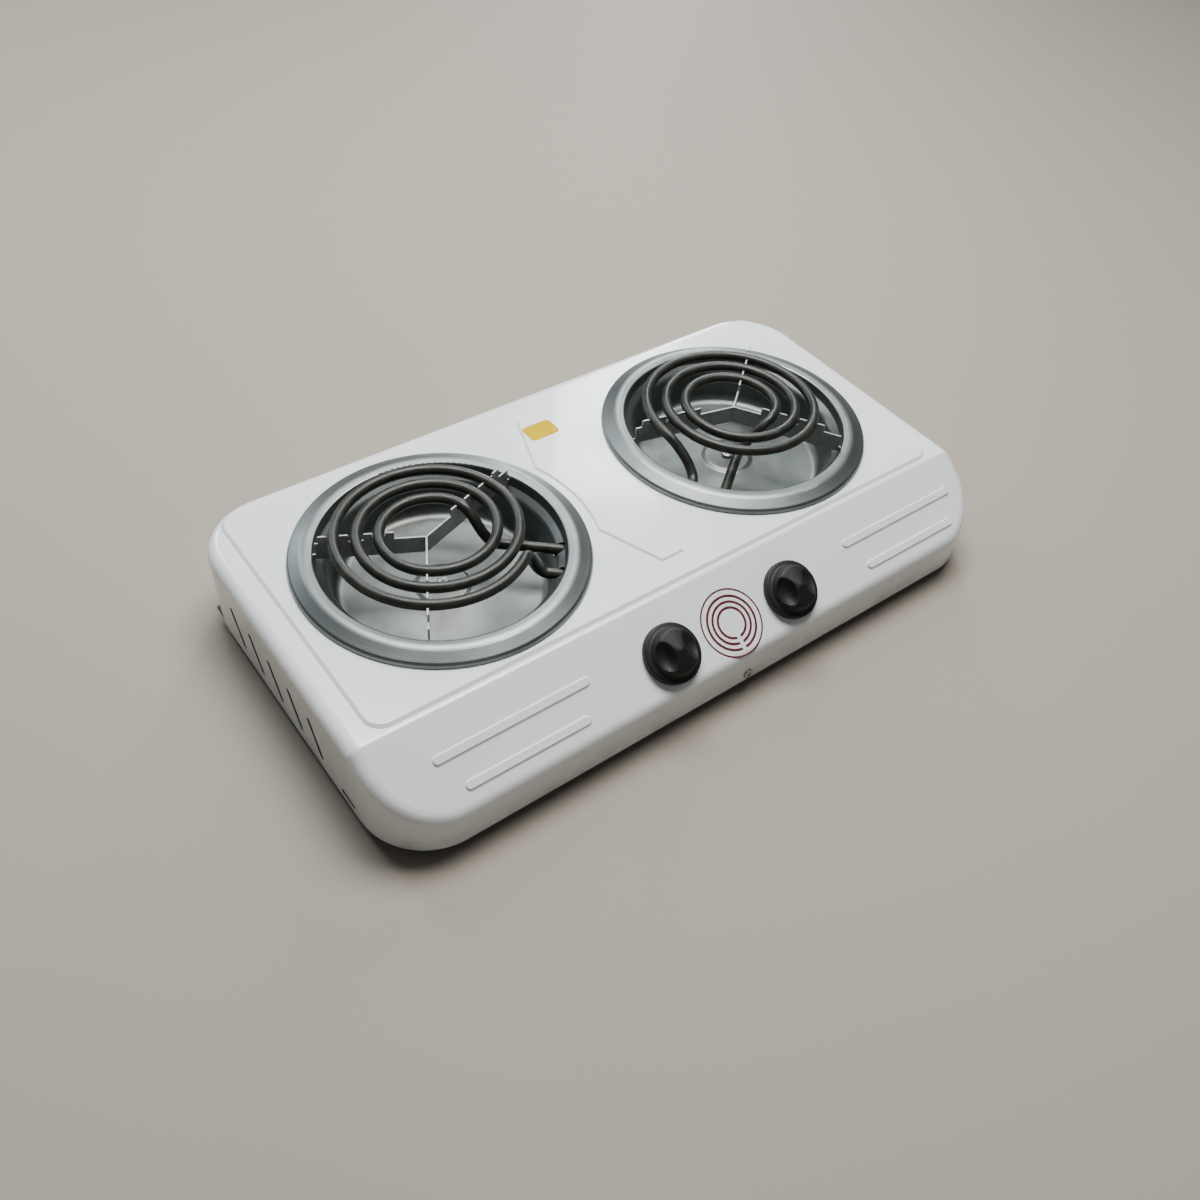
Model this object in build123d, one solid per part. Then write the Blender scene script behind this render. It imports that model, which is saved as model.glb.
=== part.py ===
"""Table-top hot plate with two open coil burners: enamelled shell, drip pans, coils, controls, base."""
import os
from math import atan2, cos, degrees, hypot, pi, radians, sin, tan

from build123d import *

# --- Housing (mm). Origin: centre of the footprint, on the table; +X right, +Y to the back, +Z up. ---
LENGTH = 460.0
DEPTH = 251.0
CORNER = 42.0
SHEET = 1.0
SHELL_BOTTOM = 7.0
SHOULDER_Z = 62.4
DECK_Z = 64.0
EDGE_ROUND = 8.0
PANEL_ANGLE = 33.5
CREASE_Y = -78.8
CREASE_ROUND = 4.0
DECK_X = 214.0
DECK_FRONT, DECK_BACK = -76.0, 116.0
DECK_CORNER = 12.0
EMBOSS_RISE = 1.2

# --- Burners ---
BURNER_X = 115.2
BURNER_Y = 18.0
DECK_HOLE_R = 84.0
RING_R = 90.0
CREST_R, CREST_RISE = 80.5, 7.6
WALL_TOP_R, WALL_TOP_RISE = 74.5, 7.0
LEDGE_TOP, LEDGE_R, LEDGE_LOW = 0.8, 68.0, -3.5
FLOOR_R, FLOOR_DROP = 65.0, 27.0
PAN_SHEET = 0.7
DIMPLE_R, DIMPLE_RISE = 15.0, 1.5
WAIST_R = 96.5

# --- Coils: three turns of sheathed heater, stepping in by TURN_STEP on every half turn ---
TUBE_R = 3.3
COIL_RISE = 17.0
TURN_R = 57.0
TURN_STEP = 6.5
LEG_RISE = -3.0
LEG_WALL_X = 71.0
LEG_LOW = (84.5, -9.5)
LEG_END_X = 100.0

# --- Coil supports: upright strips with seats for the inner and the outer turn ---
STRIP = 1.0
STRIP_BOTTOM, STRIP_TOP = 1.5, 13.5
TAB_TOP = 18.5
PRONG_TOP = 20.4
TAB_HALF, TAB_ROUND = 8.8, 0.9
SEAT_CLEAR = 0.5
ARM_END_R = 72.6
LUG_END_R, LUG_TOP = 76.2, 5.0

# --- Controls, on the sloping front panel ---
PANEL_X = 8.9
KNOB_PITCH = 94.5
KNOB_SLOPE = 33.3
SKIRT_R, SKIRT_H = 18.4, 4.6
CAP_R, CAP_TOP_R, CAP_H, DOME_H = 14.8, 13.2, 11.0, 15.0
KNOB_GAP = 0.6
SHAFT_R = 3.0
SHAFT_CLEAR = 0.05
RIB_OFFSET = 151.0
RIBS = ((24.3, 102.0), (43.6, 82.0))
RIB_WIDTH, RIB_RISE = 6.0, 1.1
BADGE_R = 21.4
PRINT = 0.12

CAVITY_R, CAVITY_H = 12.8, 6.0
BOSS_R, BORE_H = 5.0, 6.6
GRIP, SCOOP_R, SCOOP_FLOOR = 7.6, 7.2, 7.0
SHAFT_FLAT = 2.2
SHAFT_DEEP = 12.0
BUSH_R = 4.6
BODY_TOP, BODY_H, BODY_W = 2.4, 17.0, 27.0
SCREW_R = 2.0
BLADE_LENGTH = 8.0
PIN_R, PIN_LENGTH = 1.2, 16.0
WIRE_R, WIRE_Z = 1.3, 24.0
CORD_R = 3.6
BLOCK_X, BLOCK_Y = 150.0, 98.0
BLOCK_WAYS = (-10.0, 0.0, 10.0)
EARTH_X, EARTH_Y = 184.0, 62.0

# --- Side walls and back ---
SLOT_Y = tuple(61.0 - 24.3 * i for i in range(5))
SLOT_LOW, SLOT_HIGH, SLOT_LEAN, SLOT_WIDTH = 15.0, 39.5, 13.0, 4.5
TAB_SLOTS = ((-71.0, 15.0), (93.0, 12.0))
TAB_SLOT_Z, TAB_SLOT_H = 12.5, 4.6
INLET_X, INLET_Z, INLET_R = 150.0, 31.0, 6.0
FRONT_SCREW_X, FRONT_SCREW_Z = 12.0, 13.0
REAR_SCREW_X = 165.0

# --- Base and feet ---
BASE_Z = 8.0
FLANGE_TOP = 20.0
FOOT_X, FOOT_Y = 186.0, 86.0
FOOT_R, FOOT_TIP_R = 10.0, 8.0

burners = {
    # centre x; the way its legs leave; the coil's centre and where its turns step in; the angles at which
    # the turns leave for the outer and the inner leg; each leg's start and offset; the strips' centre
    # and angles
    "left": dict(x=-BURNER_X, out=-40.0, coil=(-4.5, 1.9), step=95.0, hooks=(-14.0, 58.0),
                 outer_leg=(64.0, -5.6), inner_leg=(33.0, 15.4),
                 strips=(-7.0, 5.0), vee=(153.0, -120.0), arm=19.0),
    "right": dict(x=BURNER_X, out=-143.5, coil=(-2.0, 2.9), step=128.0, hooks=(-38.0, 74.0),
                  outer_leg=(66.0, -12.2), inner_leg=(27.0, 9.4),
                  strips=(1.5, 3.5), vee=(167.0, -57.0), arm=39.0),
}
parts = {}


def rounded_block(inset, low, high):
    """The housing's upright prism, every wall moved in by inset."""
    sketch = RectangleRounded(LENGTH - 2 * inset, DEPTH - 2 * inset, CORNER - inset)
    return Pos(0, 0, low) * extrude(sketch, high - low)


def side_profile(inset):
    """What lies under the shoulder and the sloping panel, as a prism along X."""
    slope = radians(PANEL_ANGLE)
    top = SHOULDER_Z - inset
    crease = CREASE_Y + inset * (1 / cos(slope) - 1) / tan(slope)
    front = -DEPTH / 2 - 20
    low = top - (crease - front) * tan(slope)
    points = [(DEPTH, -60), (DEPTH, top), (crease, top), (front, low), (front, -60)]
    face = make_face(Polyline(*points, close=True))
    corner = face.vertices().sort_by_distance((crease, top, 0))[0]
    face = fillet(corner, CREASE_ROUND - inset)
    return extrude(Plane.YZ * face, LENGTH, both=True)


def body_block(inset):
    """The housing as a solid, its top edge rounded all the way round."""
    low = SHELL_BOTTOM if inset == 0 else SHELL_BOTTOM - 5
    body = rounded_block(inset, low, SHOULDER_Z + 5) & side_profile(inset)
    solid = body.solids()[0]
    rim = [e for e in solid.edges() if on_rim(e, solid)]
    return fillet(rim, EDGE_ROUND - inset)


def on_rim(edge, solid):
    """True for the edges between the top surfaces and the walls."""
    middle = edge @ 0.5
    wall = [f for f in solid.faces() if abs(f.normal_at().Z) < 1e-3]
    touches = [f for f in wall if any(edge.is_same(other) for other in f.edges())]
    return len(touches) == 1 and middle.Z > SHELL_BOTTOM + 1


def deck(inset):
    """The raised deck and its central emboss, as tapered slabs."""
    low = SHOULDER_Z - inset - 0.5
    rise = DECK_Z - SHOULDER_Z
    middle_y = (DECK_FRONT + DECK_BACK) / 2
    outline = RectangleRounded(2 * DECK_X - inset, DECK_BACK - DECK_FRONT - inset, DECK_CORNER)
    slab = extrude(Pos(0, middle_y, low + 0.5) * outline, rise, taper=50)
    slab += extrude(Pos(0, middle_y, low) * outline, 0.5)
    bow = extrude(Pos(0, 0, DECK_Z - inset) * bow_tie(inset), EMBOSS_RISE, taper=45)
    return slab + bow + extrude(Pos(0, 0, DECK_Z - inset - 0.5) * bow_tie(inset), 0.5)


def bow_tie(inset):
    """Outline of the emboss between the burners: a waisted strip that follows both rings."""
    half_y = 34.3
    waist = (BURNER_X - WAIST_R - inset / 2, BURNER_Y)
    shoulder = 25.0 - inset / 2
    end = 8.5
    front, back = BURNER_Y - 77.0, BURNER_Y + 81.0
    right = ThreePointArc((shoulder, BURNER_Y - half_y), waist, (shoulder, BURNER_Y + half_y))
    left = mirror(right, Plane.YZ)
    lines = [
        right, left,
        Line((shoulder, BURNER_Y + half_y), (end, back)), Line((end, back), (-end, back)),
        Line((-end, back), (-shoulder, BURNER_Y + half_y)),
        Line((-shoulder, BURNER_Y - half_y), (-end, front)), Line((-end, front), (end, front)),
        Line((end, front), (shoulder, BURNER_Y - half_y)),
    ]
    return make_face(lines)


def on_panel(x, slope_distance, height=0.0):
    """Location on the sloping panel: Z along its outward normal, Y up the slope."""
    slope = radians(PANEL_ANGLE)
    y = CREASE_Y - slope_distance * cos(slope) - height * sin(slope)
    z = SHOULDER_Z - slope_distance * sin(slope) + height * cos(slope)
    plane = Plane(origin=(x, y, z), x_dir=(1, 0, 0), z_dir=(0, -sin(slope), cos(slope)))
    return plane.location


def knob_x(side):
    return PANEL_X + (-KNOB_PITCH / 2 if side == "left" else KNOB_PITCH / 2)


def panel_ribs(inset):
    """Four raised stadium ribs, two each side of the controls."""
    ribs = []
    for side in (-1, 1):
        for distance, length in RIBS:
            place = on_panel(PANEL_X + side * RIB_OFFSET, distance, -0.4 - inset)
            foot = SlotOverall(length - inset, RIB_WIDTH - inset)
            ribs.append(place * extrude(foot, 0.4))
            ribs.append(place * Pos(0, 0, 0.4) * extrude(foot, RIB_RISE, taper=40))
    return ribs


def top_shell():
    """Pressed and enamelled steel shell, one sheet thick everywhere."""
    outer = body_block(0) + deck(0) + panel_ribs(0)
    inner = body_block(SHEET) + deck(SHEET) + panel_ribs(SHEET)
    shell = outer - inner
    for burner in burners.values():
        shell -= Pos(burner["x"], BURNER_Y, DECK_Z) * Cylinder(DECK_HOLE_R, 20)
    for side in ("left", "right"):
        place = on_panel(knob_x(side), KNOB_SLOPE)
        shell -= place * Cylinder(5.0, 10)
        for x in (-9.0, 9.0):
            shell -= place * Pos(x, 0, 0) * Cylinder(2.1, 10)
    for side in (-1, 1):
        shell -= [Pos(side * LENGTH / 2, 0, 0) * cut for cut in side_slots()]
    shell -= Pos(INLET_X, DEPTH / 2, INLET_Z) * Rot(90, 0, 0) * Cylinder(INLET_R + 1.5, 10)
    for x, y, z in wall_screws():
        shell -= Pos(x, y, z) * Rot(90, 0, 0) * Cylinder(1.8, 10)
    return shell


def side_slots():
    """Cutters for the leaning vents and the base-tab slots of one side wall."""
    height = SLOT_HIGH - SLOT_LOW
    lean = degrees(atan2(SLOT_LEAN, height))
    slot = extrude(Plane.YZ * Rot(0, 0, 90) * SlotOverall(hypot(height, SLOT_LEAN), SLOT_WIDTH), 5, both=True)
    cuts = [Pos(0, y, (SLOT_LOW + SLOT_HIGH) / 2) * Rot(-lean, 0, 0) * slot for y in SLOT_Y]
    for y, length in TAB_SLOTS:
        cuts.append(Pos(0, y, TAB_SLOT_Z) * extrude(Plane.YZ * SlotOverall(length, TAB_SLOT_H), 5, both=True))
    return cuts


def wall_screws():
    """Where the base is screwed to the shell: once in front, twice at the back."""
    front = (FRONT_SCREW_X, -DEPTH / 2, FRONT_SCREW_Z)
    return [front] + [(x, DEPTH / 2, FRONT_SCREW_Z) for x in (-REAR_SCREW_X, REAR_SCREW_X)]


def base_plate():
    """Flat steel tray that closes the housing, with vents, an upturned flange and locating tabs."""
    gap = SHEET + 0.5
    tray = rounded_block(gap, BASE_Z, FLANGE_TOP) - rounded_block(gap + SHEET, BASE_Z + SHEET, FLANGE_TOP + 1)
    for burner in burners.values():
        for i in range(-3, 4):
            slot = SlotOverall(60.0 - 6 * abs(i), 4.0)
            tray -= Pos(burner["x"] + 34, BURNER_Y + 12 * i, BASE_Z) * extrude(slot, 4, both=True)
            tray -= Pos(burner["x"] - 34, BURNER_Y + 12 * i, BASE_Z) * extrude(slot, 4, both=True)
        tray -= Pos(burner["x"], BURNER_Y, BASE_Z) * Cylinder(2.2, 10)
    for x in (-FOOT_X, FOOT_X):
        for y in (-FOOT_Y, FOOT_Y):
            tray -= Pos(x, y, BASE_Z) * Cylinder(2.2, 10)
    tray -= Pos(EARTH_X, EARTH_Y, BASE_Z) * Cylinder(1.92, 10)
    for x, y, z in wall_screws():
        tray -= Pos(x, y, z) * Rot(90, 0, 0) * Cylinder(1.55, 10)
    for side in (-1, 1):
        for y, length in TAB_SLOTS:
            tray += Pos(side * (LENGTH / 2 - gap), y, TAB_SLOT_Z) * Box(2.4, length - 4, 2.6)
    return tray


def foot(x, y):
    """Moulded rubber foot with a recess for its screw."""
    cone = Pos(x, y, 0) * Solid.make_cone(FOOT_TIP_R, FOOT_R, BASE_Z)
    cone = fillet(cone.edges().sort_by(Axis.Z)[0], 1.2)
    return cone - Pos(x, y, 2) * Cylinder(4.2, 6) - Pos(x, y, BASE_Z) * Cylinder(2.2, 8)


def pan_screw_shape(head_r, head_h, shank_r, length):
    """Pan-head screw, head up, its head's underside at z 0, with a cross recess."""
    head = extrude(Circle(head_r), head_h)
    head = fillet(head.edges().sort_by(Axis.Z)[-1], head_h * 0.6)
    cross = Box(head_r * 1.2, 0.7, head_h, align=(Align.CENTER, Align.CENTER, Align.MIN))
    cross += Rot(0, 0, 90) * cross
    return head - Pos(0, 0, head_h * 0.55) * cross + Pos(0, 0, -length / 2) * Cylinder(shank_r, length)


def foot_hardware():
    """Screws up through the feet, and the nuts above the base plate."""
    screw = Rot(180, 0, 0) * pan_screw_shape(3.6, 1.8, 2.0, 9.0)
    nut = extrude(RegularPolygon(3.9, 6), 2.6) - Cylinder(2.02, 20)
    spots = [(x, y) for x in (-FOOT_X, FOOT_X) for y in (-FOOT_Y, FOOT_Y)]
    screws = Compound([Pos(x, y, 5.0) * screw for x, y in spots])
    nuts = Compound([Pos(x, y, BASE_Z + SHEET + 0.05) * nut for x, y in spots])
    return screws, nuts


def drip_pan(burner):
    """Spun ring and bowl in one sheet: the ring rests on the deck, the bowl hangs through it."""
    rise = [
        (RING_R, PAN_SHEET + 0.05), (RING_R - 0.7, 3.4), (CREST_R, CREST_RISE), (WALL_TOP_R, WALL_TOP_RISE),
        (WALL_TOP_R - 1.0, LEDGE_TOP), (LEDGE_R, LEDGE_LOW), (FLOOR_R, -FLOOR_DROP), (DIMPLE_R + 3, -FLOOR_DROP),
        (DIMPLE_R, DIMPLE_RISE - FLOOR_DROP), (0, DIMPLE_RISE - FLOOR_DROP),
    ]
    bends = [2.2, 8.0, 1.6, 1.5, 5.0, 6.0, 3.0, 2.0]
    line = FilletPolyline(*rise, radius=bends)
    outline = offset(line, PAN_SHEET, side=Side.LEFT, closed=True)
    pan = revolve(Plane.XZ * make_face(outline), Axis.Z)
    pan = pan.solids().sort_by(SortBy.VOLUME)[-1]
    pan -= Pos(0, 0, -FLOOR_DROP) * Cylinder(2.2, 10)
    for start, y in (burner["outer_leg"], burner["inner_leg"]):
        slot = extrude(SlotOverall(11, 8.4), 8, both=True)
        hole = Pos(LEG_WALL_X, y, LEG_RISE - 1.0) * Rot(0, 90, 0) * slot
        pan -= Rot(0, 0, burner["out"]) * hole
    for angle in (*burner["vee"], burner["arm"]):
        reach = arm_reach(burner, angle, WALL_TOP_R)
        cut = Pos(reach, 0, (LUG_TOP + STRIP_BOTTOM) / 2) * Box(8, STRIP + 0.8, LUG_TOP - STRIP_BOTTOM + 0.8)
        pan -= Pos(*burner["strips"], 0) * Rot(0, 0, angle) * cut
    return Pos(burner["x"], BURNER_Y, DECK_Z) * pan


def arm_reach(burner, angle, radius):
    """Distance from the strips' centre, along an arm, to a circle about the burner."""
    x, y = burner["strips"]
    ux, uy = cos(radians(angle)), sin(radians(angle))
    along = x * ux + y * uy
    return -along + (along**2 + radius**2 - x**2 - y**2) ** 0.5


def leg_frame(burner, x, y):
    """A point given about the ring's centre, in axes turned so that +X is the way the legs leave."""
    turn = radians(burner["out"])
    return Vector(x * cos(turn) + y * sin(turn), y * cos(turn) - x * sin(turn), 0)


def coil_arcs(burner):
    """The spiral as clockwise half circles: (centre, radius, first angle, last angle), outermost first."""
    middle = leg_frame(burner, *burner["coil"])
    step = radians(burner["step"])
    aside = middle + Vector(TURN_STEP * cos(step), TURN_STEP * sin(step), 0)
    first, last = (radians(angle) for angle in burner["hooks"])
    arcs = [(middle, TURN_R, first, step - 2 * pi)]
    for half in range(1, 6):
        begin = step if half % 2 else step + pi
        end = last if half == 5 else begin - pi
        arcs.append((aside if half % 2 else middle, TURN_R - half * TURN_STEP, begin, end))
    return arcs


def arc_edge(centre, radius, begin, end):
    """One half circle of the spiral as an edge at the coil's height."""
    places = [centre + Vector(radius * cos(a), radius * sin(a), COIL_RISE)
              for a in (begin, (begin + end) / 2, end)]
    return ThreePointArc(*places)


def heating_coil(burner):
    """Three-turn spiral of half circles, with both ends bent down and led out through the bowl's wall."""
    arcs = [arc_edge(*arc) for arc in coil_arcs(burner)]
    outer_leg, inner_leg = leg(*burner["outer_leg"]), leg(*burner["inner_leg"])
    outer_hook = hook(outer_leg @ 0, arcs[0] @ 0, -(arcs[0] % 0))
    inner_hook = hook(inner_leg @ 0, arcs[-1] @ 1, arcs[-1] % 1)
    path = Wire([*outer_leg.edges(), outer_hook, *arcs, inner_hook, *inner_leg.edges()])
    section = Plane(origin=path @ 0, z_dir=path % 0) * Circle(TUBE_R)
    coil = sweep(section, path, transition=Transition.ROUND)
    return Pos(burner["x"], BURNER_Y, DECK_Z) * Rot(0, 0, burner["out"]) * coil


def leg(start, y):
    """A leg's centre line, from its hook to its end under the deck."""
    low_x, low_z = LEG_LOW
    return FilletPolyline((start, y, LEG_RISE), (LEG_WALL_X, y, LEG_RISE), (low_x, y, low_z),
                          (LEG_END_X, y, low_z), radius=8.0)


def hook(leg_start, coil_end, way):
    """Smooth bend from the coil's plane down to a leg."""
    return Spline(coil_end, leg_start, tangents=(way, Vector(1, 0, 0)), tangent_scalars=(1.1, 1.1))


def terminal_parts(burner):
    """Cold pins, ceramic bushes and the sheet-steel bracket at the coil's ends, under the deck."""
    place = Pos(burner["x"], BURNER_Y, DECK_Z) * Rot(0, 0, burner["out"])
    low_z = LEG_LOW[1]
    pins, bushes = [], []
    offsets = [y for start, y in (burner["outer_leg"], burner["inner_leg"])]
    plate = Pos(93.0, sum(offsets) / 2, low_z + 1.0) * Box(1.2, 36, 14)
    plate += Pos(89.5, sum(offsets) / 2, -SHEET - 0.7) * Box(8.2, 36, 1.2)
    for y in offsets:
        along = Pos(LEG_END_X, y, low_z) * Rot(0, 90, 0)
        pins.append(along * extrude(Circle(PIN_R), PIN_LENGTH))
        bush = Pos(0, 0, 0.1) * extrude(Circle(3.0), 3) + Pos(0, 0, 3.1) * extrude(Circle(2.2), 4)
        bushes.append(along * (bush - Cylinder(PIN_R + 0.05, 40)))
        plate -= along * Cylinder(TUBE_R + 0.05, 40)
    return place * Compound(pins), place * Compound(bushes), place * plate


def strip_arm(burner, angle, start, prong=False):
    """One upright arm from the strips' centre to the bowl's wall, with seats cut for the turns."""
    local = angle - burner["out"]
    origin = leg_frame(burner, *burner["strips"])
    end = arm_reach(burner, angle, ARM_END_R)
    lug = arm_reach(burner, angle, LUG_END_R)
    arm = wall_box(start, end, STRIP_BOTTOM, STRIP_TOP) + wall_box(end - 1, lug, STRIP_BOTTOM, LUG_TOP)
    outer, inner = turn_distance(burner, angle, (0, 1)), turn_distance(burner, angle, (4, 5))
    for seat in (outer, inner):
        low = max(seat - TAB_HALF, start)
        arm += wall_box(low, min(seat + TAB_HALF, end), STRIP_TOP - 1, TAB_TOP)
    if prong:
        arm += wall_box(outer + TUBE_R + 1.5, min(outer + 11.0, end), STRIP_TOP - 1, PRONG_TOP)
    sharp = [e for e in arm.edges().filter_by(Axis.Y) if (e @ 0.5).Z > STRIP_TOP + 1]
    arm = fillet(sharp, TAB_ROUND)
    for seat in (outer, inner):
        notch = Pos(seat, 0, COIL_RISE) * Rot(90, 0, 0) * Cylinder(TUBE_R + SEAT_CLEAR, 4)
        arm -= notch + Pos(seat, 0, COIL_RISE + 4) * Box(2 * (TUBE_R + SEAT_CLEAR), 4, 8)
    return Pos(origin.X, origin.Y, 0) * Rot(0, 0, local) * arm


def wall_box(first, last, low, high):
    """Upright sheet between two distances and two heights, one strip thick."""
    return Pos((first + last) / 2, 0, (low + high) / 2) * Box(last - first, STRIP, high - low)


def turn_distance(burner, angle, halves):
    """Distance along an arm at which it passes under a turn, given as the numbers of its two halves."""
    local = radians(angle - burner["out"])
    origin = leg_frame(burner, *burner["strips"])
    way = Vector(cos(local), sin(local), 0)
    for number in halves:
        centre, radius, begin, end = coil_arcs(burner)[number]
        to_centre = centre - origin
        along = to_centre.dot(way)
        reach = along + (along**2 + radius**2 - to_centre.dot(to_centre)) ** 0.5
        spot = origin + way * reach - centre
        behind = (begin - atan2(spot.Y, spot.X)) % (2 * pi)
        if behind <= begin - end:
            return reach
    raise ValueError("the arm passes no such turn")


def supports(burner):
    """A strip bent to a V under the turns, and the single arm that closes it to three rays."""
    place = Pos(burner["x"], BURNER_Y, DECK_Z) * Rot(0, 0, burner["out"])
    origin = leg_frame(burner, *burner["strips"])
    middle = (STRIP_BOTTOM + STRIP_TOP) / 2
    bend = Pos(origin.X, origin.Y, middle) * Cylinder(STRIP / 2, STRIP_TOP - STRIP_BOTTOM)
    vee = bend + strip_arm(burner, burner["vee"][0], 0) + strip_arm(burner, burner["vee"][1], 0)
    return place * vee, place * strip_arm(burner, burner["arm"], 0.65, prong=True)


def knob():
    """Moulded knob, its foot at z 0: a skirt, a tapering cap, and two finger scoops that leave a grip bar."""
    profile = [
        (0, 0), (SKIRT_R, 0), (SKIRT_R, SKIRT_H), (SKIRT_R - 2.2, SKIRT_H + 0.3), (CAP_R, SKIRT_H + 0.9),
        (CAP_TOP_R, CAP_H), (0, DOME_H),
    ]
    outline = FilletPolyline(*profile[1:], radius=[1.4, 0.5, 0.4, 2.5])
    face = make_face([Line((0, 0), (SKIRT_R, 0)), outline, Line((0, DOME_H), (0, 0))])
    body = revolve(Plane.XZ * face, Axis.Z)
    for side in (-1, 1):
        bulb = scale(Sphere(SCOOP_R), by=(1, 1.55, 1))
        scoop = Pos(side * (GRIP / 2 + SCOOP_R), 0, SCOOP_FLOOR + SCOOP_R) * bulb
        body -= scoop
    body -= extrude(Circle(CAVITY_R), CAVITY_H)
    body += extrude(Circle(BOSS_R), CAVITY_H + 1)
    return body - shaft_section(0.03, BORE_H)


def shaft_section(gap, length):
    """D-shaped prism that the knob slides on, with its flat towards +Y."""
    round_part = Circle(SHAFT_R + gap)
    flat = Pos(0, SHAFT_R + gap, 0) * Rectangle(2 * SHAFT_R + 1, 2 * (SHAFT_R - SHAFT_FLAT))
    return extrude(round_part - flat, length)


def knob_clip():
    """Spring-steel C round the boss."""
    ring = Circle(BOSS_R + 0.55) - Circle(BOSS_R + 0.05)
    return Pos(0, 0, 1.0) * extrude(ring - Pos(0, -BOSS_R, 0) * Rectangle(2.4, 6), 4.0)


def shaft():
    """Control shaft: round in the bush, D-shaped under the knob, with its foot in the thermostat."""
    round_part = Pos(0, 0, -SHAFT_DEEP) * extrude(Circle(SHAFT_R), SHAFT_DEEP + 0.2)
    return round_part + Pos(0, 0, 0.1) * shaft_section(0.0, KNOB_GAP + BORE_H - 0.6)


def thermostat():
    """Ceramic body with its bush through the panel, two brass blades and the fixing bracket."""
    bore = Cylinder(SHAFT_R + SHAFT_CLEAR, 2 * (SHAFT_DEEP + 0.5))
    bush = Pos(0, 0, -BODY_TOP - 0.5) * extrude(Circle(BUSH_R), BODY_TOP + 0.4)
    block = Pos(0, 0, -BODY_TOP) * extrude(RectangleRounded(BODY_W, BODY_W, 3), -BODY_H)
    body = block + bush - bore
    for x in (-9.0, 9.0):
        body -= Pos(x, 0, 0) * Cylinder(2.6, 2 * (BODY_TOP + 5))
    bracket = Pos(0, 0, -SHEET - 0.05) * extrude(RectangleRounded(30, 20, 3), -1.2)
    bracket -= Cylinder(BUSH_R + 0.1, 10)
    for x in (-9.0, 9.0):
        bracket -= Pos(x, 0, 0) * Cylinder(SCREW_R + 0.02, 10)
    blade = extrude(RectangleRounded(6.3, 0.8, 0.3), -BLADE_LENGTH)
    blades = Compound([Pos(x, 7, -BODY_TOP - BODY_H - 0.02) * blade for x in (-8, 8)])
    screw = pan_screw_shape(2.7, 1.5, SCREW_R, 6.0)
    screws = [Pos(x, 0, 0.02) * screw for x in (-9.0, 9.0)]
    return body, bracket, blades, screws


def inlet_parts():
    """Strain-relief bush in the back wall, the terminal block behind it, and their screws."""
    gland = Cylinder(INLET_R + 3.5, 1.6, align=(Align.CENTER, Align.CENTER, Align.MIN))
    gland = fillet(gland.edges().sort_by(Axis.Z)[-1], 0.8)
    gland += Pos(0, 0, -7.0) * extrude(Circle(INLET_R + 1.3), 7.0)
    gland += Pos(0, 0, -3.0) * extrude(Circle(INLET_R + 3.2), 1.6)
    gland -= Cylinder(CORD_R, 40)
    gland = Pos(INLET_X, DEPTH / 2, INLET_Z) * Rot(-90, 0, 0) * gland
    block = Pos(0, 0, 7) * Box(34, 20, 14)
    block = fillet(block.edges().filter_by(Axis.Z), 1.5)
    screws = []
    for x in BLOCK_WAYS:
        block -= Pos(x, 0, 7) * Rot(90, 0, 0) * Cylinder(2.2, 40)
        block -= Pos(x, 0, 14) * Cylinder(2.4, 8)
        screws.append(Pos(x, 0, 11.6) * pan_screw_shape(2.2, 1.4, 1.4, 1.5))
    block = Pos(BLOCK_X, BLOCK_Y, BASE_Z + SHEET) * block
    screws = Pos(BLOCK_X, BLOCK_Y, BASE_Z + SHEET) * Compound(screws)
    earth = Pos(EARTH_X, EARTH_Y, BASE_Z + SHEET) * pan_screw_shape(3.4, 2.0, 1.9, 4.0)
    return gland, block, screws, earth


def wire(*route):
    """Insulated wire along a route of straight runs joined by arcs."""
    route = [Vector(*point) for point in route]
    radii = []
    for before, here, after in zip(route, route[1:], route[2:]):
        turn = radians((here - before).get_angle(after - here))
        run = min((here - before).length, (after - here).length)
        radii.append(0.45 * run / tan(turn / 2))
    path = FilletPolyline(*route, radius=radii)
    return sweep(Plane(origin=path @ 0, z_dir=path % 0) * Circle(WIRE_R), path)


def pin_end(name, leg_y, beyond=0.0):
    """The end of a coil's cold pin, or a point beyond it on its axis, in the housing's frame."""
    burner = burners[name]
    local = Vector(LEG_END_X + PIN_LENGTH + 0.05 + beyond, leg_y, LEG_LOW[1])
    return local.rotate(Axis.Z, burner["out"]) + Vector(burner["x"], BURNER_Y, DECK_Z)


def blade_end(name, x, beyond=0.0):
    """The free end of a thermostat's blade, or a point beyond it on its axis."""
    deep = BODY_TOP + BODY_H + BLADE_LENGTH + 0.1 + beyond
    return (on_panel(knob_x(name), KNOB_SLOPE) * Pos(x, 7, -deep)).position


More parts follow.
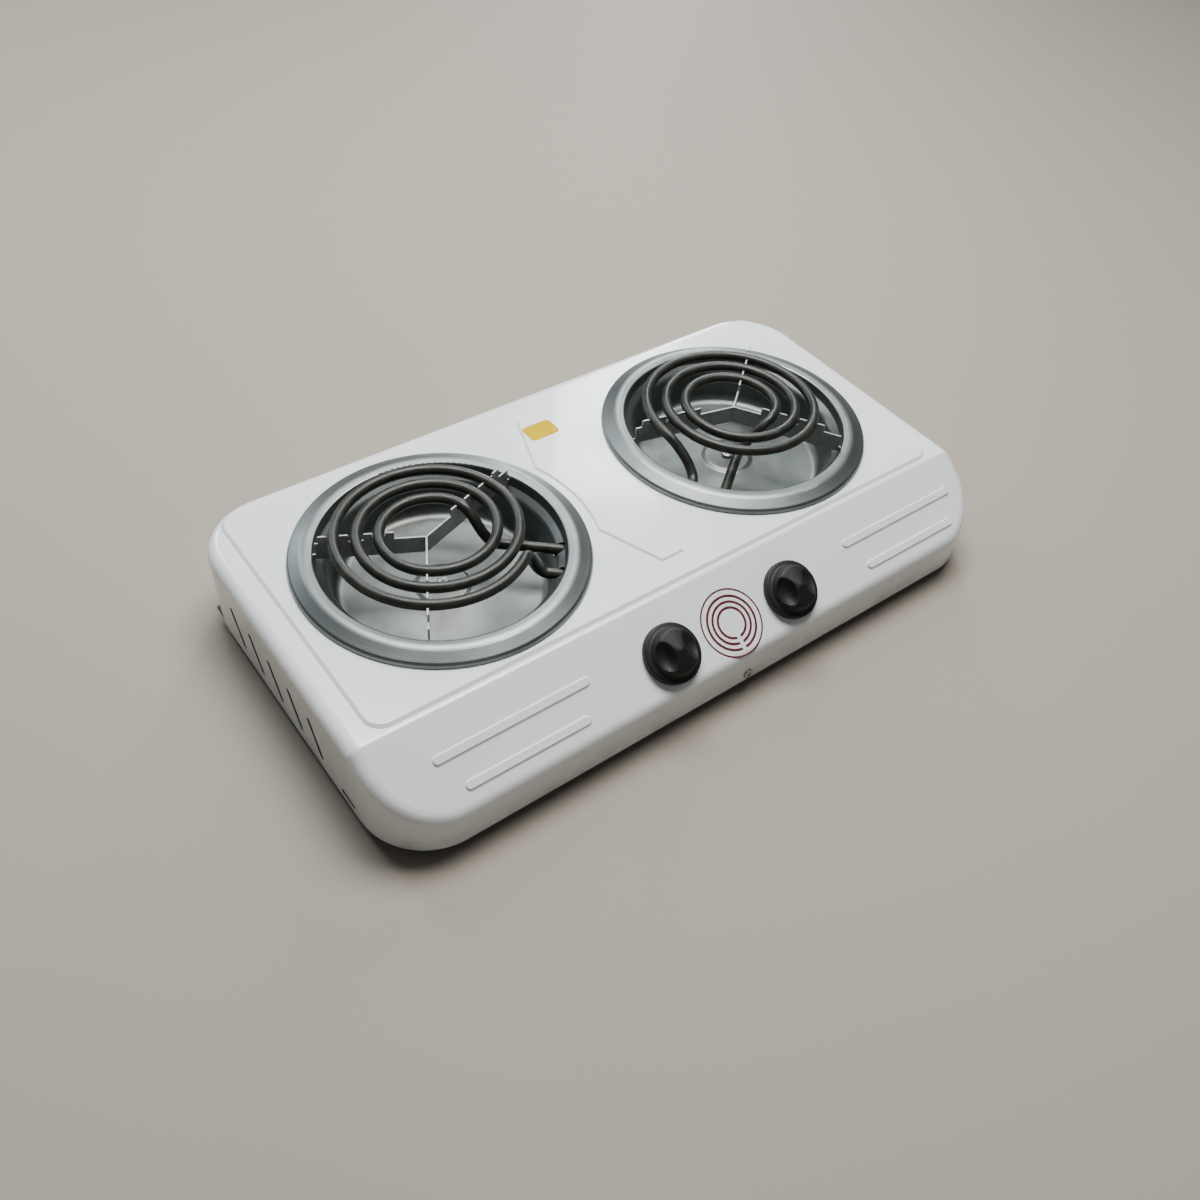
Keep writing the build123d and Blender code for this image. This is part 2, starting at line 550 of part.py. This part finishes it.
def wiring():
    """Live wires to both thermostats, load wires on to the coils, neutral wires back, and the earth wire."""
    floor = BASE_Z + SHEET + WIRE_R + 0.6
    block_y = BLOCK_Y - 10.05
    block_z = BASE_Z + SHEET + 7.0
    live, load, neutral = [], [], []
    for number, (name, burner) in enumerate(burners.items()):
        load_leg, neutral_leg = burner["outer_leg"][1], burner["inner_leg"][1]
        if name == "right":
            load_leg, neutral_leg = neutral_leg, load_leg
        x = BLOCK_X + BLOCK_WAYS[0] - 1.8 + 3.6 * number
        blade = blade_end(name, 8)
        live.append(wire((x, block_y, block_z), (x, block_y - 12, block_z), (x - 12, block_y - 36, floor),
                         (BURNER_X - 30 + 6 * number, 2 - 6 * number, floor),
                         (blade.X + 24, blade.Y + 48 - 14 * number, floor),
                         (blade.X + 4, blade.Y + 16, floor), blade_end(name, 8, 5.0), blade))
        pin = pin_end(name, load_leg, 9.0)
        blade = blade_end(name, -8, 4.0)
        load.append(wire(blade_end(name, -8), blade, (blade.X, blade.Y + 13, blade.Z + 1),
                         (pin.X, pin.Y - 4, pin.Z - 14), pin, pin_end(name, load_leg)))
        x = BLOCK_X + BLOCK_WAYS[1] - 1.8 + 3.6 * number
        pin = pin_end(name, neutral_leg, 8.0)
        neutral.append(wire(pin_end(name, neutral_leg), pin, (pin.X + 4, pin.Y + 4, WIRE_Z + 8),
                            (BURNER_X - 66 + 14 * number, 4 + 16 * number, WIRE_Z),
                            (x - 20, block_y - 40, WIRE_Z), (x, block_y - 12, block_z), (x, block_y, block_z)))
    x = BLOCK_X + BLOCK_WAYS[2]
    earth = wire((x, block_y, block_z), (x, block_y - 8, block_z), (EARTH_X - 6, EARTH_Y + 12, floor + 1),
                 (EARTH_X, EARTH_Y + 4.0, BASE_Z + SHEET + WIRE_R + 0.2))
    return Compound(live), Compound(load), Compound(neutral), earth


def pan_fixings(burner):
    """The standoff riveted to the base plate, and the screw that holds the bowl to it."""
    top = DECK_Z - FLOOR_DROP + DIMPLE_RISE - PAN_SHEET - 0.05
    bottom = BASE_Z + SHEET
    stud = Pos(0, 0, bottom) * extrude(RegularPolygon(4.4, 6), top - bottom)
    stud += Pos(0, 0, BASE_Z - 0.9) * extrude(Circle(2.15), SHEET + 2)
    stud += Pos(0, 0, BASE_Z - 0.9) * extrude(Circle(3.2), 0.88)
    stud -= Pos(0, 0, top - 10) * extrude(Circle(SCREW_R + 0.05), 11)
    screw = Pos(0, 0, top + PAN_SHEET + 0.1) * pan_screw_shape(4.0, 2.2, SCREW_R, 8.0)
    place = Pos(burner["x"], BURNER_Y, 0)
    return place * stud, place * screw


def badge_print():
    """Printed mark on the panel: a ring round a plain sketch of a coil."""
    ring = Circle(BADGE_R) - Circle(BADGE_R - 1.0)
    turns = [Circle(BADGE_R - r) - Circle(BADGE_R - r - 1.5) - Pos(0, r - BADGE_R, 0) * Rectangle(2.8, 5)
             for r in (4.0, 7.6, 11.2)]
    prints = [extrude(face, PRINT) for face in (ring, *turns)]
    return on_panel(PANEL_X, KNOB_SLOPE + 0.8) * Compound([s for shape in prints for s in shape.solids()])


def plain_label():
    """Small blank label with round corners on the emboss."""
    film = extrude(RectangleRounded(22, 15, 3.0), PRINT)
    return Pos(0, 82.0, DECK_Z + EMBOSS_RISE) * film


parts["top_shell"] = top_shell()
parts["base_plate"] = base_plate()
for x, side in ((-FOOT_X, "left"), (FOOT_X, "right")):
    for y, end in ((-FOOT_Y, "front"), (FOOT_Y, "rear")):
        parts[f"foot_{end}_{side}"] = foot(x, y)
parts["foot_screws"], parts["foot_nuts"] = foot_hardware()
wall_screw = pan_screw_shape(3.4, 1.6, 1.5, 7.0)
front_spot, *rear_spots = [Pos(*spot) for spot in wall_screws()]
parts["front_screw"] = front_spot * Rot(90, 0, 0) * wall_screw
parts["rear_screws"] = Compound([spot * Rot(-90, 0, 0) * wall_screw for spot in rear_spots])
controls_screws = []
for name, burner in burners.items():
    parts[f"{name}_drip_pan"] = drip_pan(burner)
    parts[f"{name}_pan_stud"], parts[f"{name}_pan_screw"] = pan_fixings(burner)
    parts[f"{name}_heating_coil"] = heating_coil(burner)
    pins, bushes, plate = terminal_parts(burner)
    parts[f"{name}_coil_pins"], parts[f"{name}_coil_insulators"] = pins, bushes
    parts[f"{name}_terminal_plate"] = plate
    parts[f"{name}_support_strip"], parts[f"{name}_support_arm"] = supports(burner)
    panel = on_panel(knob_x(name), KNOB_SLOPE)
    raised = on_panel(knob_x(name), KNOB_SLOPE, KNOB_GAP)
    body, bracket, blades, screws = thermostat()
    parts[f"{name}_thermostat_body"], parts[f"{name}_thermostat_bracket"] = panel * body, panel * bracket
    parts[f"{name}_thermostat_terminals"] = panel * blades
    controls_screws += [panel * screw for screw in screws]
    parts[f"{name}_thermostat_shaft"] = panel * shaft()
    parts[f"{name}_knob"] = raised * knob()
    parts[f"{name}_knob_clip"] = raised * knob_clip()
parts["thermostat_screws"] = Compound(controls_screws)
parts["cable_gland"], parts["terminal_block"], parts["terminal_screws"], parts["earth_screw"] = inlet_parts()
parts["live_wires"], parts["load_wires"], parts["neutral_wires"], parts["earth_wire"] = wiring()
parts["badge_print"] = badge_print()
parts["plain_label"] = plain_label()

os.makedirs("parts", exist_ok=True)
for part_name, shape in parts.items():
    export_step(shape, f"parts/{part_name}.step")
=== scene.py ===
from math import radians

import bmesh
import bpy
from mathutils import Euler, Matrix, Vector


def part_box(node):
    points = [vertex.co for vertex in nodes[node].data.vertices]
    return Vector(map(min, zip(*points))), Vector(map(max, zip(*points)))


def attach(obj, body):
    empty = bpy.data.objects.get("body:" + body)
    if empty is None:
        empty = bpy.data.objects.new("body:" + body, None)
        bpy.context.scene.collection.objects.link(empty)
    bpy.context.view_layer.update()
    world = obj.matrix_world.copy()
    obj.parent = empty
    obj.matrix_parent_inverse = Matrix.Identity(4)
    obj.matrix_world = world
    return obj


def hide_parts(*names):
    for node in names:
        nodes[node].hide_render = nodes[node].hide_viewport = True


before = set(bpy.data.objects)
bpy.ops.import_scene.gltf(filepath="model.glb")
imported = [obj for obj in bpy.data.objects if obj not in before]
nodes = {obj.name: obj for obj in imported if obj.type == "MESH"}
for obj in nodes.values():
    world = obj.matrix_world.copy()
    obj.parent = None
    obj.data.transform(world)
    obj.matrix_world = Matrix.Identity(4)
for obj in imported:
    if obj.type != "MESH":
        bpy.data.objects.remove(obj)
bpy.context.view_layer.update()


# --- Camera, floor and studio light -------------------------------------------------------------------
# A hand-held view from the front left, above the hot plate, over a plain warm grey floor.
# Large soft panels light it from above and behind, and a weak one from the front left.
lens = bpy.data.cameras.new("view")
lens.lens, lens.sensor_width = 34.47, 36.0
lens.clip_start, lens.clip_end = 0.01, 50.0
viewer = bpy.data.objects.new("view", lens)
bpy.context.scene.collection.objects.link(viewer)
turn = Euler((0, 0, radians(-40.894))).to_matrix() @ Euler((radians(90 - 46.433), 0, 0)).to_matrix()
turn = turn @ Euler((0, 0, radians(5.766))).to_matrix()
viewer.matrix_world = Matrix.Translation((-0.3588, -0.4100, 0.5454)) @ turn.to_4x4()
bpy.context.scene.camera = viewer

sweep = bmesh.new()
bmesh.ops.create_grid(sweep, x_segments=1, y_segments=1, size=6.0)
floor_mesh = bpy.data.meshes.new("floor")
sweep.to_mesh(floor_mesh)
sweep.free()
floor = bpy.data.objects.new("floor", floor_mesh)
bpy.context.scene.collection.objects.link(floor)
paper = bpy.data.materials.new("warm grey paper")
paper.use_nodes = True
paper.node_tree.nodes["Principled BSDF"].inputs["Base Color"].default_value = (0.30, 0.265, 0.215, 1)
paper.node_tree.nodes["Principled BSDF"].inputs["Roughness"].default_value = 0.75
floor_mesh.materials.append(paper)

room = bpy.data.worlds.new("room")
room.use_nodes = True
room.node_tree.nodes["Background"].inputs["Color"].default_value = (0.90, 0.95, 1.0, 1)
room.node_tree.nodes["Background"].inputs["Strength"].default_value = 0.11
bpy.context.scene.world = room


def softbox(name, place, aim, width, height, power, tint=(1, 1, 1)):
    light = bpy.data.lights.new(name, "AREA")
    light.shape, light.size, light.size_y = "RECTANGLE", width, height
    light.energy, light.color = power, tint
    panel = bpy.data.objects.new(name, light)
    bpy.context.scene.collection.objects.link(panel)
    way = Vector(aim) - Vector(place)
    panel.matrix_world = Matrix.Translation(place) @ way.to_track_quat("-Z", "Y").to_matrix().to_4x4()


softbox("ceiling panel", (0.25, 0.35, 1.5), (0, 0.05, 0.05), 1.1, 0.7, 48)
softbox("window strip", (1.1, 1.3, 0.8), (0, 0, 0.05), 0.25, 1.2, 16, (0.90, 0.95, 1.0))
softbox("rear strip", (-0.35, 1.5, 0.9), (0, 0, 0.05), 0.2, 1.0, 9, (0.85, 0.93, 1.0))
softbox("front fill", (-0.6, -1.6, 1.1), (0, 0, 0.05), 0.7, 0.5, 1.0)


# --- Top shell ----------------------------------------------------------------------------------------
# Pressed sheet steel under white stove enamel: glossy, with a faint orange peel, fine specks of
# handling wear, and warm patches that darken it towards the bottom edge. The side walls' inner faces
# and the vents' cut edges are painted shade, coloured near-black.
def effect_group(name, inputs, outputs):
    """An empty shader group with named inputs (name, default) and outputs (name, kind)."""
    tree = bpy.data.node_groups.new(name, "ShaderNodeTree")
    for label, default in inputs:
        socket = tree.interface.new_socket(label, in_out="INPUT", socket_type="NodeSocketFloat")
        socket.default_value = default
    for label, kind in outputs:
        tree.interface.new_socket(label, in_out="OUTPUT", socket_type=kind)
    return tree, tree.nodes.new("NodeGroupInput"), tree.nodes.new("NodeGroupOutput")


def patches_group():
    """Soft patches on Object coordinates: a mask from 0 to 1 whose contrast is set by Low and High."""
    inputs = [("Scale", 100), ("Detail", 4), ("Low", 0.4), ("High", 0.6)]
    tree, start, end = effect_group("patches", inputs, [("Mask", "NodeSocketFloat")])
    place = tree.nodes.new("ShaderNodeTexCoord")
    noise = tree.nodes.new("ShaderNodeTexNoise")
    spread = tree.nodes.new("ShaderNodeMapRange")
    join = tree.links.new
    join(place.outputs["Object"], noise.inputs["Vector"])
    join(start.outputs["Scale"], noise.inputs["Scale"])
    join(start.outputs["Detail"], noise.inputs["Detail"])
    join(noise.outputs["Fac"], spread.inputs["Value"])
    join(start.outputs["Low"], spread.inputs["From Min"])
    join(start.outputs["High"], spread.inputs["From Max"])
    join(spread.outputs["Result"], end.inputs["Mask"])
    return tree


patches = patches_group()


def blank(name, metallic=0.0):
    """A material with its Principled shader, and a short way to add and join nodes."""
    finish = bpy.data.materials.new(name)
    finish.use_nodes = True
    tree = finish.node_tree
    shader = tree.nodes["Principled BSDF"]
    shader.inputs["Metallic"].default_value = metallic
    return finish, tree, shader


def add_patches(tree, scale, detail, low, high):
    node = tree.nodes.new("ShaderNodeGroup")
    node.node_tree = patches
    for label, value in (("Scale", scale), ("Detail", detail), ("Low", low), ("High", high)):
        node.inputs[label].default_value = value
    return node.outputs["Mask"]


def blend_colours(tree, mask, first, second):
    """Colour that goes from first to second with the mask; either may be a colour or a socket."""
    mix = tree.nodes.new("ShaderNodeMix")
    mix.data_type = "RGBA"
    tree.links.new(mask, mix.inputs["Factor"])
    for label, colour in (("A", first), ("B", second)):
        socket = [s for s in mix.inputs if s.name == label and s.type == "RGBA"][0]
        if isinstance(colour, tuple):
            socket.default_value = (*colour, 1)
        else:
            tree.links.new(colour, socket)
    return [s for s in mix.outputs if s.type == "RGBA"][0]


def spread_value(tree, mask, low, high):
    """A value that goes from low to high with the mask."""
    spread = tree.nodes.new("ShaderNodeMapRange")
    tree.links.new(mask, spread.inputs["Value"])
    spread.inputs["To Min"].default_value, spread.inputs["To Max"].default_value = low, high
    return spread.outputs["Result"]


def add_bump(tree, shader, height, strength, distance):
    bump = tree.nodes.new("ShaderNodeBump")
    bump.inputs["Strength"].default_value, bump.inputs["Distance"].default_value = strength, distance
    tree.links.new(height, bump.inputs["Height"])
    tree.links.new(bump.outputs["Normal"], shader.inputs["Normal"])
    return bump


def height_mask(tree, low, high):
    """1 at the low height, falling to 0 at the high one, in metres above the table."""
    place = tree.nodes.new("ShaderNodeTexCoord")
    split = tree.nodes.new("ShaderNodeSeparateXYZ")
    spread = tree.nodes.new("ShaderNodeMapRange")
    tree.links.new(place.outputs["Object"], split.inputs[0])
    tree.links.new(split.outputs["Z"], spread.inputs["Value"])
    spread.inputs["From Min"].default_value, spread.inputs["From Max"].default_value = low, high
    spread.inputs["To Min"].default_value, spread.inputs["To Max"].default_value = 1.0, 0.0
    return spread.outputs["Result"]


def times(tree, first, second):
    product = tree.nodes.new("ShaderNodeMath")
    product.operation = "MULTIPLY"
    for socket, value in zip(product.inputs, (first, second)):
        if isinstance(value, float):
            socket.default_value = value
        else:
            tree.links.new(value, socket)
    return product.outputs[0]


def dress(material, *names):
    """Gives CAD nodes a material."""
    for name in names:
        for material_slot in nodes[name].material_slots:
            material_slot.material = material


def inside_walls_shade_mask(tree):
    """Mask for painted shade: 1 on the side walls' inner faces and their vents' cut edges, 0 outside.
    Limits in metres.
    """
    place = tree.nodes.new("ShaderNodeTexCoord")
    split = tree.nodes.new("ShaderNodeSeparateXYZ")
    tree.links.new(place.outputs["Object"], split.inputs[0])
    masks = []
    past_wall_face, past_last_vent, above_vents = 0.2297, 0.085, 0.045
    for axis, limit in (("X", past_wall_face), ("Y", past_last_vent), ("Z", above_vents)):
        size, below = tree.nodes.new("ShaderNodeMath"), tree.nodes.new("ShaderNodeMath")
        size.operation, below.operation = "ABSOLUTE", "LESS_THAN"
        tree.links.new(split.outputs[axis], size.inputs[0])
        tree.links.new(size.outputs[0], below.inputs[0])
        below.inputs[1].default_value = limit
        masks.append(below.outputs[0])
    return times(tree, times(tree, masks[0], masks[1]), masks[2])


enamel, tree, shader = blank("white enamel")
# Warm patches that darken the enamel towards the bottom edge.
low_edge_darkening = times(tree, height_mask(tree, 0.007, 0.022), add_patches(tree, 60, 6, 0.42, 0.62))
specks = add_patches(tree, 900, 2, 0.765, 0.80)
clouds = add_patches(tree, 9, 3, 0.35, 0.65)
tone = blend_colours(tree, clouds, (0.80, 0.825, 0.82), (0.765, 0.795, 0.795))
tone = blend_colours(tree, times(tree, low_edge_darkening, 0.5), tone, (0.42, 0.40, 0.36))
tone = blend_colours(tree, specks, tone, (0.30, 0.28, 0.25))
# Painted shade: the inside of the side walls and the vents' cut edges are coloured near-black.
tone = blend_colours(tree, inside_walls_shade_mask(tree), tone, (0.030, 0.030, 0.032))
tree.links.new(tone, shader.inputs["Base Color"])
smears = add_patches(tree, 22, 7, 0.46, 0.66)
tree.links.new(spread_value(tree, smears, 0.16, 0.30), shader.inputs["Roughness"])
shader.inputs["Coat Weight"].default_value = 0.35
shader.inputs["Coat Roughness"].default_value = 0.06
add_bump(tree, shader, add_patches(tree, 260, 3, 0.2, 0.8), 0.06, 0.0004)
dress(enamel, "top_shell")


# --- Drip pans ----------------------------------------------------------------------------------------
# Ring and bowl spun from one disc of galvanised sheet: fine turned lines round the middle, a faint
# spangle, and a bowl darkened in patches by painted shade that deepens towards its floor.
def turned_group():
    """Fine lines round the Z axis of the given vector: a height, and a mask of slow bands."""
    tree, start, end = effect_group("turned lines", [("Middle X", 0), ("Middle Y", 0)],
                                    [("Lines", "NodeSocketFloat"), ("Bands", "NodeSocketFloat")])
    join = tree.links.new
    place = tree.nodes.new("ShaderNodeTexCoord")
    split = tree.nodes.new("ShaderNodeSeparateXYZ")
    join(place.outputs["Object"], split.inputs[0])
    flat = tree.nodes.new("ShaderNodeCombineXYZ")
    for axis in "XY":
        away = tree.nodes.new("ShaderNodeMath")
        away.operation = "SUBTRACT"
        join(split.outputs[axis], away.inputs[0])
        join(start.outputs[f"Middle {axis}"], away.inputs[1])
        join(away.outputs[0], flat.inputs[axis])
    radius = tree.nodes.new("ShaderNodeVectorMath")
    radius.operation = "LENGTH"
    join(flat.outputs[0], radius.inputs[0])
    spot = tree.nodes.new("ShaderNodeCombineXYZ")
    join(radius.outputs["Value"], spot.inputs["X"])
    join(split.outputs["Z"], spot.inputs["Z"])
    for label, scale, detail in (("Lines", 2600, 3), ("Bands", 160, 2)):
        noise = tree.nodes.new("ShaderNodeTexNoise")
        noise.inputs["Scale"].default_value, noise.inputs["Detail"].default_value = scale, detail
        join(spot.outputs[0], noise.inputs["Vector"])
        join(noise.outputs["Fac"], end.inputs[label])
    return tree


turned = turned_group()


def middle_of(name):
    """Centre of a CAD node's box."""
    low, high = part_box(name)
    return (Vector(low) + Vector(high)) / 2


for side in ("left", "right"):
    zinc, tree, shader = blank(f"{side} galvanised sheet", 1.0)
    rings = tree.nodes.new("ShaderNodeGroup")
    rings.node_tree = turned
    centre = middle_of(f"{side}_drip_pan")
    rings.inputs["Middle X"].default_value, rings.inputs["Middle Y"].default_value = centre.x, centre.y
    clouds = add_patches(tree, 28, 5, 0.38, 0.64)
    tone = blend_colours(tree, clouds, (0.205, 0.227, 0.218), (0.165, 0.184, 0.180))
    # Painted shade in the bowl: patchy darkening, strongest down at the bowl's floor, fading towards
    # the rim.
    bowl_floor_shade = times(tree, height_mask(tree, 0.040, 0.068), add_patches(tree, 45, 6, 0.50, 0.68))
    tone = blend_colours(tree, times(tree, bowl_floor_shade, 0.55), tone, (0.095, 0.086, 0.070))
    tree.links.new(tone, shader.inputs["Base Color"])
    tree.links.new(spread_value(tree, rings.outputs["Bands"], 0.33, 0.55), shader.inputs["Roughness"])
    add_bump(tree, shader, rings.outputs["Lines"], 0.20, 0.0003)
    dress(zinc, f"{side}_drip_pan")


# --- Heating coils ------------------------------------------------------------------------------------
# Sheathed heaters, burnt to a dark olive black, with a dry, slightly mottled skin.
sheath, tree, shader = blank("burnt sheath", 0.20)
mottle = add_patches(tree, 140, 6, 0.36, 0.66)
tone = blend_colours(tree, mottle, (0.014, 0.016, 0.011), (0.024, 0.025, 0.018))
tone = blend_colours(tree, add_patches(tree, 30, 3, 0.58, 0.80), tone, (0.032, 0.030, 0.022))
tree.links.new(tone, shader.inputs["Base Color"])
tree.links.new(spread_value(tree, mottle, 0.34, 0.50), shader.inputs["Roughness"])
add_bump(tree, shader, add_patches(tree, 900, 4, 0.3, 0.7), 0.25, 0.0002)
dress(sheath, "left_heating_coil", "right_heating_coil")


# --- Small metalwork, insulation and rubber -----------------------------------------------------------
# Zinc-plated strips, studs and screws, brass blades, unglazed ceramic, sleeved wires, rubber feet and
# the base, near-black as painted shade behind the vents: each its own tone, mottled and slightly rough.
def plain_finish(name, first, second, rough, metallic=0.0, scale=300.0, bump=0.15):
    """Mottled finish between two tones, with its roughness and fine relief from the same patches."""
    finish, tree, shader = blank(name, metallic)
    mottle = add_patches(tree, scale, 5, 0.35, 0.65)
    tree.links.new(blend_colours(tree, mottle, first, second), shader.inputs["Base Color"])
    tree.links.new(spread_value(tree, mottle, rough[0], rough[1]), shader.inputs["Roughness"])
    add_bump(tree, shader, add_patches(tree, scale * 4, 3, 0.3, 0.7), bump, 0.0002)
    return finish


both = ("left", "right")
strip = plain_finish("plated strip", (0.36, 0.375, 0.355), (0.44, 0.45, 0.43), (0.32, 0.48), 0.45)
dress(strip, *[f"{side}_support_{part}" for side in both for part in ("strip", "arm")])
plate = plain_finish("zinc plate", (0.36, 0.37, 0.37), (0.46, 0.47, 0.46), (0.22, 0.40), 1.0, 500.0)
dress(plate, "foot_screws", "foot_nuts", "front_screw", "rear_screws", "thermostat_screws",
      "terminal_screws", "earth_screw")
for part in ("pan_screw", "pan_stud", "thermostat_shaft", "knob_clip", "coil_pins", "terminal_plate",
             "thermostat_bracket"):
    dress(plate, *[f"{side}_{part}" for side in both])
ceramic = plain_finish("unglazed ceramic", (0.78, 0.75, 0.68), (0.70, 0.67, 0.60), (0.6, 0.85),
                       scale=400.0)
dress(ceramic, "terminal_block")
for side in both:
    dress(ceramic, f"{side}_coil_insulators", f"{side}_thermostat_body")
brass = plain_finish("brass", (0.72, 0.52, 0.22), (0.60, 0.42, 0.18), (0.25, 0.45), 1.0)
dress(brass, "left_thermostat_terminals", "right_thermostat_terminals")
rubber = plain_finish("black rubber", (0.030, 0.030, 0.031), (0.045, 0.045, 0.045), (0.6, 0.8),
                      scale=250.0)
dress(rubber, *[f"foot_{end}_{side}" for end in ("front", "rear") for side in both])
# Painted shade: the base is coloured near-black so that the vents look dark inside.
underside = plain_finish("near-black base as painted shade", (0.035, 0.035, 0.037), (0.055, 0.055, 0.056),
                         (0.45, 0.62), scale=120.0)
dress(underside, "base_plate")
for name, tone in (("live_wires", (0.22, 0.09, 0.04)), ("load_wires", (0.42, 0.04, 0.03)),
                   ("neutral_wires", (0.04, 0.10, 0.32)), ("earth_wire", (0.12, 0.30, 0.06))):
    darker = tuple(0.8 * channel for channel in tone)
    dress(plain_finish(f"{name} sleeve", tone, darker, (0.45, 0.65), scale=500.0), name)


# --- Knobs and inlet bush -----------------------------------------------------------------------------
# Black moulded plastic, satin, with a fine grain. The knob's edges are softened all over, as a
# moulding's are.
moulded = plain_finish("black moulding", (0.004, 0.004, 0.005), (0.008, 0.008, 0.009), (0.50, 0.62),
                       scale=700.0, bump=0.10)
moulded.node_tree.nodes["Principled BSDF"].inputs["Specular IOR Level"].default_value = 0.32
dress(moulded, "cable_gland")
for side in both:
    knob = bpy.data.objects.new(f"{side}_knob_moulding", nodes[f"{side}_knob"].data.copy())
    bpy.context.scene.collection.objects.link(knob)
    shape = bmesh.new()
    shape.from_mesh(knob.data)
    bmesh.ops.remove_doubles(shape, verts=shape.verts, dist=1e-6)
    shape.to_mesh(knob.data)
    shape.free()
    skin = knob.modifiers.new("skin", "REMESH")
    skin.mode, skin.voxel_size, skin.use_smooth_shade = "VOXEL", 0.0004, True
    soften = knob.modifiers.new("soften", "SMOOTH")
    soften.factor, soften.iterations = 0.5, 5
    knob.data.materials.clear()
    knob.data.materials.append(moulded)
    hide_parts(f"{side}_knob")
    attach(knob, f"{side}_control")


# --- Printed badge and label --------------------------------------------------------------------------
# The badge is screen-printed in dark red on the enamel. The label is blank yellow film.
ink = plain_finish("red ink", (0.075, 0.004, 0.012), (0.11, 0.008, 0.018), (0.40, 0.52),
                   scale=900.0, bump=0.05)
dress(ink, "badge_print")
film = plain_finish("yellow film", (0.58, 0.40, 0.0), (0.52, 0.35, 0.0), (0.55, 0.70), bump=0.05)
film.node_tree.nodes["Principled BSDF"].inputs["Specular IOR Level"].default_value = 0.04
dress(film, "plain_label")
